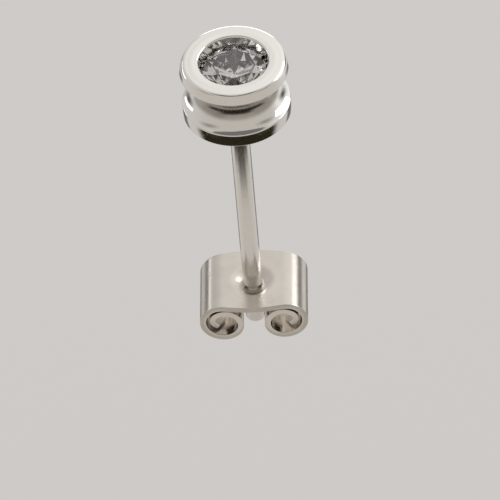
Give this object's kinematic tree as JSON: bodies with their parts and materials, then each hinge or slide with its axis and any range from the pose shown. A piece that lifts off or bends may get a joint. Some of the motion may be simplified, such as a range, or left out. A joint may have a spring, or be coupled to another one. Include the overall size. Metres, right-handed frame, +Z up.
{
  "type": "stud earring",
  "caption": "Round bezel-set stud earring: a clear brilliant in a waisted polished bezel, on a straight post held by a butterfly clutch.",
  "frame": {"origin": "centre of the base flange's back face, where the stud sits on the lobe", "axes": "+Z up as worn, the stone faces -Y, and +Y runs along the post towards the clutch"},
  "size_m": [0.0044, 0.0147, 0.0044],
  "materials": {
    "silver": "polished sterling silver",
    "clutch_silver": "polished sterling silver with drawing lines along the strip",
    "stone": "clear faceted, polished"
  },
  "bodies": {
    "stud": {"setting": "silver", "stone": "stone"},
    "clutch": {"clutch": "clutch_silver"}
  },
  "joints": [
    {"name": "clutch_slide", "type": "slide", "parent": "stud", "child": "clutch", "axis": [0, 1, 0], "range_m": [-0.00955, 0.008]}
  ]
}
